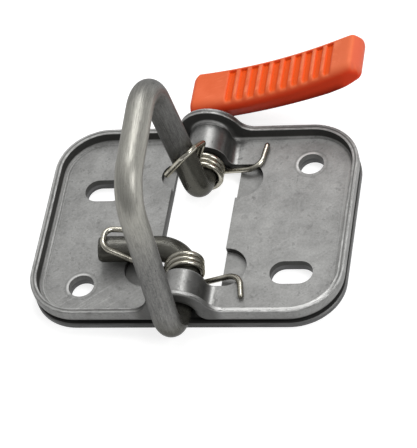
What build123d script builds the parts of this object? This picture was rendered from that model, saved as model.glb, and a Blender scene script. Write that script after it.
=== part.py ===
from build123d import *

import os
from math import asin, atan2, cos, degrees, hypot, radians, sin, sqrt, tan

# Hood latch: a pressed tray on a flat base plate, one bent round bar that turns
# under two pressed saddles, a moulded grip on the bar's handle arm, and two
# torsion springs that push the bar back onto its stop.
# Frame: X to the right, Y to the back, Z up, millimetres.
# Origin: centre of the plates, on the underside of the base plate.
# The pivot axis runs along Y at X = 0.

# Plates
PLATE_WIDTH = 110.0
PLATE_DEPTH = 82.0
CORNER_RADIUS = 18.0
BASE_THICKNESS = 2.3
BASE_EDGE = 0.4
SHEET = 2.3
RIM_HEIGHT = 4.3
RIM_BEND = 1.5
RIM_EDGE = 0.45

# Window through both plates, between the saddles
WINDOW_WIDTH = 23.6
SADDLE_LENGTH = 14.3

# Round reliefs in the tray at the window's corners: side, end, centre's distance
# out from the window's side and in from its end, radius
RELIEFS = (
    (1, 1, 0.7, 6.7, 8.3),
    (1, -1, 0.2, 7.9, 8.2),
    (-1, -1, 3.0, 8.2, 8.2),
    (-1, 1, -1.3, 4.5, 5.8),
)

# Bolt holes and slots through both plates: side, end, distance in from the plate's
# side and from its end
BOLT_HOLE = 9.0
BOLT_HOLES = ((1, 1, 17.8, 14.7), (-1, -1, 17.8, 14.7))
SLOT_LENGTH = 15.0
SLOT_WIDTH = 9.5
SLOTS = ((1, -1, 19.0, 19.8), (-1, 1, 19.0, 25.1))
LIP = 0.7

# Bar and the saddles that hold it
BAR = 9.0
BAR_EDGE = 0.6
SEAT_GAP = 0.3
SADDLE_GAP = 0.7
SADDLE_FOOT = 3.0
HOOD_FILLET = 6.0

# Bail: lean from +X, reach from the pivot axis, and how far its corners stand in
# from its elbows along Y
BAIL_LEAN = 92.0
BAIL_RADIUS = 14.0
BAIL_BACK_REACH = 69.8
BAIL_FRONT_REACH = 66.1
BAIL_BACK_IN = 7.6
BAIL_FRONT_IN = 9.9
BACK_ELBOW_IN = 14.7
BACK_ELBOW_RADIUS = 9.0
FRONT_ELBOW_OUT = 10.2
FRONT_ELBOW_RADIUS = 10.5

# Stop arm: it passes over the tray's floor at its landing, beyond the window's side
STOP_ELBOW_IN = 14.1
STOP_ELBOW_RADIUS = 10.0
STOP_REACH = 31.3
STOP_DRIFT = 2.9
STOP_LANDING = 7.5
STOP_GAP = 0.5

# Handle arm and grip: the grip's walls over and under the bar's own line are given
# at its left end, its middle and its right end
HANDLE_OUT = 12.3
HANDLE_RADIUS = 11.0
HANDLE_REACH = 33.0
HANDLE_RISE = 19.5
GRIP_FIT = 0.1
GRIP_SIDE = 3.9
GRIP_STATIONS = (-8.5, 21.5, 56.5)
GRIP_OVER = (5.6, 1.3, 3.3)
GRIP_UNDER = (-1.5, 0.7, -2.5)
GRIP_TOP_EDGE = 1.5
GRIP_BOTTOM_EDGE = 5.5
GRIP_TIP_CORNER = 4.0
GROOVE_COUNT = 10
GROOVE_FIRST = 15.0
GROOVE_PITCH = 4.4
GROOVE_WIDTH = 2.0
GROOVE_DEPTH = 0.8
GROOVE_MARGIN = 1.4

# Springs: wire, coil, and the leg on the tray's floor, whose turn and end are placed
# out from the window's side and beyond its end
WIRE = 2.0
COIL_GAP = 0.45
COIL_PITCH = 2.05
BACK_COIL_GAP = 0.3
FRONT_COIL_GAP = 1.2
COIL_TURNS = 3
FRONT_COIL_TILT = 11.0
BACK_COIL_END = 135.0
FRONT_COIL_END = -119.0
LEG_RUN = 4.0
LEG_BEND = 5.0
LEG_CLEAR = 0.3
LEG_SLOPE = 18.0
BACK_LEG = ((7.6, -3.2), (9.0, 8.1))
FRONT_LEG = ((6.8, -4.0), (8.6, 5.9))

# Hooks of the springs' moving legs: each corner's place along its arm, and the side
# of the arm that it lies on, to the turning side and along Y
HOOK_GAP = 0.6
HOOK_BEND = 4.0
BACK_HOOK = ((24.0, 1, 1), (30.5, 1, -1), (20.5, -1, -1))
FRONT_HOOK = ((29.6, 1, -1), (29.6, 1, 1), (15.0, 1, 1))

# Worked out from the sizes above
FLOOR = BASE_THICKNESS + SHEET
RIM_TOP = FLOOR + RIM_HEIGHT
AXIS_Z = BASE_THICKNESS + SEAT_GAP + BAR / 2
SADDLE_INNER = BAR / 2 + SADDLE_GAP
SADDLE_OUTER = SADDLE_INNER + SHEET
HOOD_RADIUS = SADDLE_OUTER + RIM_HEIGHT
WINDOW_LENGTH = PLATE_DEPTH - 2 * SADDLE_LENGTH
HANDLE_Y = PLATE_DEPTH / 2 + HANDLE_OUT
FRONT_ELBOW_Y = -PLATE_DEPTH / 2 - FRONT_ELBOW_OUT
BACK_ELBOW_Y = WINDOW_LENGTH / 2 - BACK_ELBOW_IN
STOP_ELBOW_Y = STOP_ELBOW_IN - WINDOW_LENGTH / 2
GRIP_WIDTH = BAR + 2 * GRIP_SIDE
COIL_RADIUS = BAR / 2 + COIL_GAP + WIRE / 2
LEG_Z = FLOOR + WIRE / 2 + LEG_CLEAR
HOOK_OFF = BAR / 2 + WIRE / 2 + HOOK_GAP

# Larger than the object, for cuts that go right through
FAR = 2 * PLATE_WIDTH

# Where along an edge its place is tested, and how near counts as lying on a face
TESTED_SHARES = (0.1, 0.5, 0.9)
TOUCH = 0.01


def stop_rise():
    """Angle of the stop arm above -X that leaves its gap over the floor at its landing."""
    landing = WINDOW_WIDTH / 2 + STOP_LANDING
    drop = FLOOR + STOP_GAP - AXIS_Z
    return degrees(asin(BAR / 2 / hypot(landing, drop)) + atan2(drop, landing))


def around(reach, angle, y):
    """Point at a reach and an angle from +X about the pivot axis."""
    return Vector(reach * cos(radians(angle)), y, AXIS_Z + reach * sin(radians(angle)))


def across(y):
    """Work plane at one Y, with X to the right and Z up, facing the front."""
    return Plane(origin=(0, y, 0), x_dir=(1, 0, 0), z_dir=(0, -1, 0))


def ridge(level, radius, hollow):
    """Solid under a flat level that rises over the pivot axis as a round ridge.

    The ridge is an arc about the axis, and a hollow arc joins it to the level.
    """
    centre_z = level + hollow
    centre_x = sqrt((radius + hollow) ** 2 - (centre_z - AXIS_Z) ** 2)
    share = radius / (radius + hollow)
    join = (centre_x * share, AXIS_Z + (centre_z - AXIS_Z) * share)
    tilt = degrees(atan2(centre_z - AXIS_Z, centre_x))
    down, towards_axis = 270, 180 + tilt
    half = radians((down + towards_axis) / 2)
    middle = (centre_x + hollow * cos(half), centre_z + hollow * sin(half))
    outline = [
        Line((-FAR, level), (-centre_x, level)),
        ThreePointArc((-centre_x, level), (-middle[0], middle[1]), (-join[0], join[1])),
        ThreePointArc((-join[0], join[1]), (0, AXIS_Z + radius), join),
        ThreePointArc(join, middle, (centre_x, level)),
        Line((centre_x, level), (FAR, level)),
        Line((FAR, level), (FAR, -FAR)),
        Line((FAR, -FAR), (-FAR, -FAR)),
        Line((-FAR, -FAR), (-FAR, level)),
    ]
    face = across(PLATE_DEPTH) * make_face(outline)
    return extrude(face, amount=2 * PLATE_DEPTH)


def plate_column(inset=0.0):
    """Tall block with the plates' outline, or one set in from it."""
    outline = RectangleRounded(PLATE_WIDTH - 2 * inset, PLATE_DEPTH - 2 * inset, CORNER_RADIUS - inset)
    return extrude(outline, amount=FAR)


def window_column():
    """Block that cuts the window through both plates."""
    return Box(WINDOW_WIDTH, WINDOW_LENGTH, FAR)


def from_corner(side, end, inset_x, inset_y, width, depth):
    """Point set in from a corner of a centred rectangle, at one side and one end."""
    return side * (width / 2 - inset_x), end * (depth / 2 - inset_y)


def hole_spots():
    """Centres of the round bolt holes."""
    return [from_corner(*hole, PLATE_WIDTH, PLATE_DEPTH) for hole in BOLT_HOLES]


def bolt_columns():
    """Blocks that cut the bolt holes and slots through both plates."""
    slot_spots = [from_corner(*slot, PLATE_WIDTH, PLATE_DEPTH) for slot in SLOTS]
    shapes = [Pos(x, y) * Circle(BOLT_HOLE / 2) for x, y in hole_spots()]
    shapes += [Pos(x, y) * SlotOverall(SLOT_LENGTH, SLOT_WIDTH) for x, y in slot_spots]
    return [extrude(shape, amount=FAR, both=True) for shape in shapes]


def relief_columns():
    """Blocks that cut the round reliefs beside the window, no further than its ends."""
    band = Box(FAR, WINDOW_LENGTH, FAR)
    columns = []
    for side, end, out, inset, radius in RELIEFS:
        x, y = from_corner(side, end, -out, inset, WINDOW_WIDTH, WINDOW_LENGTH)
        columns.append(extrude(Pos(x, y) * Circle(radius), amount=FAR / 2, both=True) & band)
    return columns


def base_plate():
    """Flat plate with the window, the holes and softened outer edges."""
    plate = extrude(RectangleRounded(PLATE_WIDTH, PLATE_DEPTH, CORNER_RADIUS), amount=BASE_THICKNESS)
    rims = plate.faces().filter_by(Axis.Z)
    plate = chamfer(rims.edges(), BASE_EDGE)
    return plate - window_column() - bolt_columns()


def ridge_height(x, level, radius, hollow):
    """Height at X of the upper face of the ridge with these sizes."""
    centre_z = level + hollow
    centre_x = sqrt((radius + hollow) ** 2 - (centre_z - AXIS_Z) ** 2)
    if abs(x) <= centre_x * radius / (radius + hollow):
        return AXIS_Z + sqrt(radius ** 2 - x ** 2)
    if abs(x) < centre_x:
        return centre_z - sqrt(hollow ** 2 - (centre_x - abs(x)) ** 2)
    return level


def wall_inset(spot):
    """How far a point lies inside the plates' outline, seen from above."""
    over_x = abs(spot.X) - (PLATE_WIDTH / 2 - CORNER_RADIUS)
    over_y = abs(spot.Y) - (PLATE_DEPTH / 2 - CORNER_RADIUS)
    outside = sqrt(max(over_x, 0) ** 2 + max(over_y, 0) ** 2)
    return CORNER_RADIUS - outside - min(max(over_x, over_y), 0)


def edges_along(solid, inset, section):
    """Edges of a solid that lie both on a wall and on a ridge's upper face."""
    def lies_on(edge):
        spots = [edge @ share for share in TESTED_SHARES]
        on_wall = [abs(wall_inset(spot) - inset) < TOUCH for spot in spots]
        on_ridge = [abs(spot.Z - ridge_height(spot.X, *section)) < TOUCH for spot in spots]
        return all(on_wall) and all(on_ridge)
    return [edge for edge in solid.edges() if lies_on(edge)]


def tray():
    """Pressed tray: floor, turned-up rim, two saddles with hoods, and cut-outs."""
    upper = (FLOOR, SADDLE_OUTER, SADDLE_FOOT)
    under = (BASE_THICKNESS, SADDLE_INNER, SADDLE_FOOT + SHEET)
    crest = (RIM_TOP, HOOD_RADIUS, HOOD_FILLET)
    floor = ridge(*upper) & plate_column()
    rim = ridge(*crest) & (plate_column() - plate_column(SHEET))
    shell = floor + rim - ridge(*under)
    shell = fillet(edges_along(shell, SHEET, upper), RIM_BEND)
    shell = fillet(edges_along(shell, 0, under), RIM_BEND + SHEET)
    shell = fillet(edges_along(shell, SHEET, crest) + edges_along(shell, 0, crest), RIM_EDGE)
    shell = shell - relief_columns() - window_column() - bolt_columns()
    radius = BOLT_HOLE / 2
    lips = [Pos(x, y, FLOOR) * Cone(radius - LIP, radius + LIP, 2 * LIP) for x, y in hole_spots()]
    return shell - lips


def bar_path():
    """Centre line of the bar, from the handle end to the stop end."""
    stop_end = around(STOP_REACH, 180 - stop_rise(), STOP_ELBOW_Y - STOP_DRIFT)
    points = [
        around(HANDLE_REACH, HANDLE_RISE, HANDLE_Y),
        around(0, 0, HANDLE_Y),
        around(0, 0, BACK_ELBOW_Y),
        around(BAIL_BACK_REACH, BAIL_LEAN, BACK_ELBOW_Y - BAIL_BACK_IN),
        around(BAIL_FRONT_REACH, BAIL_LEAN, FRONT_ELBOW_Y + BAIL_FRONT_IN),
        around(0, 0, FRONT_ELBOW_Y),
        around(0, 0, STOP_ELBOW_Y),
        stop_end,
    ]
    radii = [
        HANDLE_RADIUS,
        BACK_ELBOW_RADIUS,
        BAIL_RADIUS,
        BAIL_RADIUS,
        FRONT_ELBOW_RADIUS,
        STOP_ELBOW_RADIUS,
    ]
    return FilletPolyline(*points, radius=radii)


def rod(path, diameter):
    """Round rod of one diameter along a path."""
    start = Plane(origin=path @ 0, z_dir=path % 0)
    return sweep(start * Circle(diameter / 2), path=path)


def bail_bar():
    """One bent round bar: handle arm, pivot, bail, pivot and stop arm."""
    solid = rod(bar_path(), BAR)
    ends = solid.faces().filter_by(GeomType.PLANE)
    return chamfer(ends.edges(), BAR_EDGE)


def grip_side():
    """Corners of the grip's side, left, middle and right: its top and its bottom."""
    climb = tan(radians(HANDLE_RISE))
    half_bar = BAR / 2 / cos(radians(HANDLE_RISE))
    line = [AXIS_Z + x * climb for x in GRIP_STATIONS]
    top = [(x, z + half_bar + wall) for x, z, wall in zip(GRIP_STATIONS, line, GRIP_OVER)]
    bottom = [(x, z - half_bar - wall) for x, z, wall in zip(GRIP_STATIONS, line, GRIP_UNDER)]
    return top, bottom


def grip():
    """Moulded grip: a curved bar with round lower edges and grooves across its top."""
    top, bottom = grip_side()
    crown = ThreePointArc(*top)
    side = [crown, Line(top[2], bottom[2]), ThreePointArc(*bottom), Line(bottom[0], top[0])]
    back = HANDLE_Y + GRIP_WIDTH / 2
    body = extrude(across(back) * make_face(side), amount=GRIP_WIDTH)
    upright = body.edges().filter_by(GeomType.LINE).filter_by(Axis.Y, reverse=True)
    body = fillet(upright.sort_by(Axis.X)[-2:], GRIP_TIP_CORNER)
    body = fillet(body.faces().sort_by(Axis.Z)[0].edges(), GRIP_BOTTOM_EDGE)
    body = fillet(body.faces().sort_by(Axis.Z)[-1].edges(), GRIP_TOP_EDGE)
    body -= rod(bar_path(), BAR + 2 * GRIP_FIT)
    groove = Rot(0, 0, 90) * SlotOverall(GRIP_WIDTH - 2 * GROOVE_MARGIN, GROOVE_WIDTH)
    for index in range(GROOVE_COUNT):
        place = GROOVE_FIRST + index * GROOVE_PITCH
        spot = crown.position_at(place, PositionMode.LENGTH)
        run = crown.tangent_at(place, PositionMode.LENGTH)
        seat = Plane((spot.X, HANDLE_Y, spot.Y), x_dir=(run.X, 0, run.Y), z_dir=(-run.Y, 0, run.X))
        body -= extrude(seat * groove, amount=GROOVE_DEPTH, both=True)
    return body


def beside(arm_angle, arm_start, arm_slope, corner):
    """Corner of a hook beside an arm of the bar.

    arm_slope is the arm's change in Y for each millimetre of reach.
    """
    along, aside, over = corner
    centre = around(along, arm_angle, arm_start + arm_slope * along)
    turn = radians(arm_angle - 90)
    return centre + Vector(aside * cos(turn), over, aside * sin(turn)) * HOOK_OFF


def spring(inward, gap, tilt, coil_end, floor_leg, hook):
    """Torsion spring on the bar: coil, leg on the tray's floor and hook over an arm.

    inward is 1 on the front saddle and -1 on the back one. gap is the room between
    saddle and coil, tilt turns the coil towards -X with the bar's bend, coil_end is
    the angle where the coil ends, and hook lists the corners of the moving leg.
    """
    start_angle = LEG_SLOPE - 90
    turns = COIL_TURNS + ((start_angle - coil_end) % 360) / 360
    start_y = -inward * (WINDOW_LENGTH / 2 - gap - WIRE / 2)
    radial = (cos(radians(start_angle)), 0, sin(radians(start_angle)))
    seat = Plane(around(0, 0, start_y), x_dir=radial, z_dir=(0, inward, 0))
    helix = Helix(COIL_PITCH, COIL_PITCH * turns, COIL_RADIUS, lefthand=inward < 0)
    coil = (seat * helix).edge().rotate(Axis(seat.origin, (0, 0, 1)), tilt)
    fixed = [coil @ 0, coil @ 0 - (coil % 0) * LEG_RUN]
    for out, beyond in floor_leg:
        x, y = from_corner(1, -inward, -out, -beyond, WINDOW_WIDTH, WINDOW_LENGTH)
        fixed.append(Vector(x, y, LEG_Z))
    moving = [coil @ 1, coil @ 1 + (coil % 1) * LEG_RUN] + hook
    section = Plane(origin=coil @ 0, z_dir=coil % 0) * Circle(WIRE / 2)
    solid = sweep(section, path=coil, is_frenet=True)
    solid += rod(FilletPolyline(*fixed, radius=LEG_BEND), WIRE)
    return solid + rod(FilletPolyline(*moving, radius=HOOK_BEND), WIRE)


def back_spring():
    """Spring on the back saddle, hooked round the bail's back leg."""
    slope = -BAIL_BACK_IN / BAIL_BACK_REACH
    hook = [beside(BAIL_LEAN, BACK_ELBOW_Y, slope, corner) for corner in BACK_HOOK]
    return spring(-1, BACK_COIL_GAP, 0, BACK_COIL_END, BACK_LEG, hook)


def front_spring():
    """Spring on the front saddle, hooked over the stop arm."""
    slope = -STOP_DRIFT / STOP_REACH
    hook = [beside(180 - stop_rise(), STOP_ELBOW_Y, slope, corner) for corner in FRONT_HOOK]
    return spring(1, FRONT_COIL_GAP, FRONT_COIL_TILT, FRONT_COIL_END, FRONT_LEG, hook)


if __name__ == "__main__":
    os.makedirs("parts", exist_ok=True)
    pieces = {
        "base_plate": base_plate(),
        "tray": tray(),
        "bail_bar": bail_bar(),
        "grip": grip(),
        "back_spring": back_spring(),
        "front_spring": front_spring(),
    }
    for name, solid in pieces.items():
        export_step(solid, f"parts/{name}.step")
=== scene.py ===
"""Finishes, wire springs, light and camera of a hood latch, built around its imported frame.

Sizes are in millimetres in the classes below and become metres when a mesh is made.
"""

import logging
from dataclasses import dataclass
from enum import Enum
from functools import reduce
from itertools import accumulate
from operator import mul
from typing import Any, Callable, Dict, List, Optional, Sequence, Tuple, Union

import bpy
import numpy as np
from mathutils import Matrix, Vector


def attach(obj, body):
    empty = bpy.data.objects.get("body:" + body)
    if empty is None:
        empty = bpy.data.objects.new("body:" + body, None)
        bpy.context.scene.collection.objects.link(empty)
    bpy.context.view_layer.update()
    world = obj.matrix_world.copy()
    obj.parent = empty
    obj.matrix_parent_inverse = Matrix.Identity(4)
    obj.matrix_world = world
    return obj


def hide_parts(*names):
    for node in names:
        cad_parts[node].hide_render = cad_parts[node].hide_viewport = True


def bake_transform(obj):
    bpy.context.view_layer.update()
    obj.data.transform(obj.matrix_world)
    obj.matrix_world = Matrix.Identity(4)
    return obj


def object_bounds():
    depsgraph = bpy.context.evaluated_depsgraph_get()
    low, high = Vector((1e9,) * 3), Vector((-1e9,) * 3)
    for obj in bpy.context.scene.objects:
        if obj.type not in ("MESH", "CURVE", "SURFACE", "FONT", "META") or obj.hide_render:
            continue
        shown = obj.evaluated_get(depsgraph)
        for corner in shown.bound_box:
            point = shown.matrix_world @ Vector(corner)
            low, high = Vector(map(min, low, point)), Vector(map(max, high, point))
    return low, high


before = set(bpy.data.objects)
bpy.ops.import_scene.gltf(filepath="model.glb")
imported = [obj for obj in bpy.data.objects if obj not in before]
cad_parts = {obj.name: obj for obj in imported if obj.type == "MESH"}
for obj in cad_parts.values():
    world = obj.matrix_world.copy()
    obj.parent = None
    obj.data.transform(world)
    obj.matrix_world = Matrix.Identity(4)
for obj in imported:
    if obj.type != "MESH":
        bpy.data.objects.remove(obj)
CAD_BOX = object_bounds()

log = logging.getLogger("hood_latch")

MM = 0.001
SHARP_DEGREES = 35.0
# Colour sockets of a Mix node by number, because their names repeat for each type of data
MIX_SHARE, MIX_FIRST, MIX_SECOND, MIX_RESULT = 0, 6, 7, 2
Pair = Tuple[float, float]
Colour = Tuple[float, float, float]
Circle = Tuple[np.ndarray, np.ndarray]
Pairs = Tuple[Pair, ...]
Number = Union["Sock", float]
Layers = List[Tuple["Layer", "Sock"]]


class Body(str, Enum):
    """Rigid bodies of the latch."""

    BASE = "base"
    BAIL = "bail"


class Slot(str, Enum):
    """Material slots of the latch's record."""

    BAR = "bar_steel"
    SPRING = "spring_steel"
    GRIP = "grip_plastic"


class Where(str, Enum):
    """What a finish reads its patterns from."""

    OBJECT = "object"
    WIRE = "along_wire"
    RIBS = "rib_place"


# Shader arithmetic


def math_operator(operation: str, reflected: bool = False) -> Callable[["Sock", Number], "Sock"]:
    """Operator that adds one Math node, with its two values in turn or swapped.

    Args:
        operation: Name of the node's operation.
        reflected: Whether the two values are swapped.

    Returns:
        The operator.
    """

    def apply(self: "Sock", other: Number) -> "Sock":
        """Result of the operation on this value and another."""
        return self.math(operation, *((other, self) if reflected else (self, other)))

    return apply


@dataclass(frozen=True)
class Layer:
    """One layer of noise in a finish.

    A cut turns it into spots, 0 at its first number and 1 at its second. A stretch scales
    what it reads along each axis, after a turn about Z in degrees. Tone and height are its
    weights in the surface's tone and height.
    """

    scale: float = 1.0
    detail: float = 3.0
    rough: float = 0.55
    cut: Optional[Pair] = None
    stretch: Optional[Colour] = None
    turn: float = 0.0
    tone: float = 0.0
    height: float = 0.0


class Sock:
    """One shader socket that takes part in Python arithmetic.

    Each operator adds one Math node, so an expression on sockets reads as a formula.
    """

    __add__ = math_operator("ADD")
    __radd__ = math_operator("ADD", reflected=True)
    __sub__ = math_operator("SUBTRACT")
    __rsub__ = math_operator("SUBTRACT", reflected=True)
    __mul__ = math_operator("MULTIPLY")
    __rmul__ = math_operator("MULTIPLY", reflected=True)
    __truediv__ = math_operator("DIVIDE")
    at_least = math_operator("MAXIMUM")
    at_most = math_operator("MINIMUM")

    def __init__(self, shader: "Shader", socket: bpy.types.NodeSocket) -> None:
        """Keep an output socket and the builder of its node tree."""
        self.shader = shader
        self.socket = socket

    def math(self, operation: str, *values: Number) -> "Sock":
        """Result of a Math node with these inputs in order."""
        return self.shader.node("ShaderNodeMath", {"operation": operation}, dict(enumerate(values)))

    def __abs__(self) -> "Sock":
        """Size of this value without its sign."""
        return self.math("ABSOLUTE", self)

    def hypot(self, other: "Sock") -> "Sock":
        """Length of the vector of this value and another."""
        return self.math("SQRT", self * self + other * other)

    def smooth(self, low: float, high: float) -> "Sock":
        """Smooth step from 0 at low to 1 at high, in either order."""
        inputs = {"Value": self, "From Min": low, "From Max": high}
        return self.shader.node("ShaderNodeMapRange", {"interpolation_type": "SMOOTHSTEP"}, inputs)

    def band(self, middle: float, half: float) -> "Sock":
        """Soft line: 1 at a middle value and 0 beyond half its width."""
        return abs(self - middle).smooth(half, 0.0)

    def between(self, low: float, high: float) -> "Sock":
        """Straight line from low at 0 to high at 1."""
        return self * (high - low) + low

    def mix(self, first: Any, second: Any) -> "Sock":
        """Colour that is the first one, as numbers or a socket, at 0 and the second one at 1."""
        inputs = {MIX_SHARE: self, MIX_FIRST: first, MIX_SECOND: second}
        return self.shader.node("ShaderNodeMix", {"data_type": "RGBA"}, inputs, MIX_RESULT)

    def toned(self, dark: Colour, light: Colour) -> "Sock":
        """Colour between a dark and a light one, with this tone held from 0 to 1."""
        return self.at_least(0.0).at_most(1.0).mix(dark, light)

    def parts(self) -> List["Sock"]:
        """The three numbers of this vector."""
        first = self.shader.node("ShaderNodeSeparateXYZ", inputs={0: self})
        return [Sock(self.shader, output) for output in first.socket.node.outputs]

    def millimetres(self) -> List["Sock"]:
        """The three numbers of this place in millimetres."""
        return [part / MM for part in self.parts()]

    def layer(self, layer: Layer) -> "Sock":
        """Value from 0 to 1 of a layer of noise that reads this vector.

        Args:
            layer: The layer of noise.

        Returns:
            Its value.
        """
        vector = self
        if layer.stretch:
            shares = tuple(1 / each for each in layer.stretch)
            inputs = {"Vector": self, "Rotation": (0.0, 0.0, np.radians(layer.turn)), "Scale": shares}
            vector = self.shader.node("ShaderNodeMapping", {"vector_type": "TEXTURE"}, inputs)
        inputs = {"Vector": vector, "Scale": layer.scale, "Detail": layer.detail, "Roughness": layer.rough}
        value = self.shader.node("ShaderNodeTexNoise", None, inputs, "Fac")
        return value.smooth(*layer.cut) if layer.cut else value


class Shader:
    """Builder of one node tree."""

    def __init__(self, tree: bpy.types.NodeTree) -> None:
        """Empty the tree and start it anew."""
        self.tree = tree
        tree.nodes.clear()

    def node(
        self,
        kind: str,
        settings: Optional[Dict[str, Any]] = None,
        inputs: Optional[Dict[Union[int, str], Any]] = None,
        output: Union[int, str] = 0,
    ) -> Optional[Sock]:
        """Add a node, set it, and link or set its inputs.

        Args:
            kind: Node type.
            settings: Attributes of the node, and "stops" for a ramp's places and grey levels.
            inputs: Values or sockets for its inputs, by name or number. A colour needs no alpha.
            output: Name or number of the output that is returned.

        Returns:
            The chosen output, or None for a node that has none.
        """
        made = self.tree.nodes.new(kind)
        for name, value in (settings or {}).items():
            if name == "stops":
                self._stops(made.color_ramp, value)
            else:
                setattr(made, name, value)
        for key, value in (inputs or {}).items():
            target = made.inputs[key]
            if isinstance(value, Sock):
                self.tree.links.new(value.socket, target)
            else:
                target.default_value = (*value, 1.0) if target.type == "RGBA" else value
        return Sock(self, made.outputs[output]) if len(made.outputs) else None

    @staticmethod
    def _stops(ramp: bpy.types.ColorRamp, stops: Pairs) -> None:
        """Set a ramp's stops.

        Args:
            ramp: The ramp.
            stops: Place and grey level of each stop.
        """
        while len(ramp.elements) < len(stops):
            ramp.elements.new(1.0)
        for element, (place, level) in zip(ramp.elements, stops):
            element.position = place
            element.color = (level, level, level, 1.0)

    def coords(self, where: Where = Where.OBJECT) -> Sock:
        """Vector that a pattern reads: the object's own place, or an attribute of the piece.

        Args:
            where: What the pattern reads.

        Returns:
            The vector.
        """
        if where is Where.OBJECT:
            return self.node("ShaderNodeTexCoord", output="Object")
        return self.node("ShaderNodeAttribute", {"attribute_name": where.value}, output="Vector")

    def facing(self) -> List[Sock]:
        """The three numbers of the surface's normal: the last is 1 on a floor and 0 on a wall."""
        return self.node("ShaderNodeNewGeometry", output="Normal").parts()

    def joined(self, *numbers: Number) -> Sock:
        """Vector of up to three numbers."""
        return self.node("ShaderNodeCombineXYZ", None, dict(enumerate(numbers)))

    def bump(self, height: Sock, depth: float) -> Sock:
        """Normal of a surface with this height, where 1 is a depth in millimetres."""
        return self.node("ShaderNodeBump", None, {"Distance": depth * MM, "Height": height}, "Normal")


def tone_of(layers: Layers, middle: float) -> Sock:
    """Middle tone plus each layer times its weight, counted from a half where it isn't cut."""
    return sum(((value if layer.cut else value - 0.5) * layer.tone for layer, value in layers), middle)


def height_of(layers: Layers) -> Sock:
    """Sum of the layers, each times its weight in the height."""
    return sum(value * layer.height for layer, value in layers)


def zone(pairs: Pairs, *values: Sock) -> Sock:
    """Product of the values' smooth steps, each from 0 to 1 between its own pair."""
    return reduce(mul, (value.smooth(*pair) for value, pair in zip(values, pairs)))


# Finishes


@dataclass(frozen=True)
class Finish:
    """Procedural finish. A pair of numbers in it is mostly where a mask is 0 and where it is 1."""

    name: str

    def make(self) -> bpy.types.Material:
        """Make the material and log it.

        Returns:
            The material.
        """
        material = bpy.data.materials.new(self.name)
        material.use_nodes = True
        self.shade(Shader(material.node_tree))
        log.info("made finish %s", self.name)
        return material

    def shade(self, shader: Shader) -> None:
        """Build the material's tree."""
        raise NotImplementedError


@dataclass(frozen=True)
class Coat(Finish):
    """Finish that ends in a Principled shader."""

    edge_tint: Colour = (1.0, 1.0, 1.0)
    specular: float = 0.5
    metallic: float = 0.0
    relief: float = 0.06
    tone: float = 0.5
    rough: Pair = (0.42, 0.62)

    def paint(self, colour: Sock, rough: Sock, height: Sock, metal: Number = 0.0) -> None:
        """End the tree with a Principled shader.

        Args:
            colour: Base colour.
            rough: Roughness.
            height: Height of the surface, in shares of the finish's relief.
            metal: What is added to the finish's own metal.
        """
        shader = colour.shader
        made = shader.node("ShaderNodeBsdfPrincipled", None, {
            "Base Color": colour,
            "Roughness": rough,
            "Metallic": metal + self.metallic,
            "Specular IOR Level": self.specular,
            "Specular Tint": self.edge_tint,
            "Normal": shader.bump(height, self.relief),
        })
        shader.node("ShaderNodeOutputMaterial", None, {"Surface": made})


@dataclass(frozen=True)
class Outline:
    """Outline of both plates: a rectangle with round corners."""

    width: float = 110.0
    depth: float = 82.0
    corner: float = 18.0

    def inset(self, x: Sock, y: Sock) -> Sock:
        """Distance inside the outline of a point in millimetres.

        It is the corner's radius, less the distance from the corner's centre where the
        point lies beyond that centre, or plus the distance back to it.

        Args:
            x: Place along X in millimetres.
            y: Place along Y in millimetres.

        Returns:
            The distance in millimetres.
        """
        over_x = abs(x) - (self.width / 2 - self.corner)
        over_y = abs(y) - (self.depth / 2 - self.corner)
        outside = over_x.at_least(0.0).hypot(over_y.at_least(0.0))
        return self.corner - outside - over_x.at_least(over_y).at_most(0.0)


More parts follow.
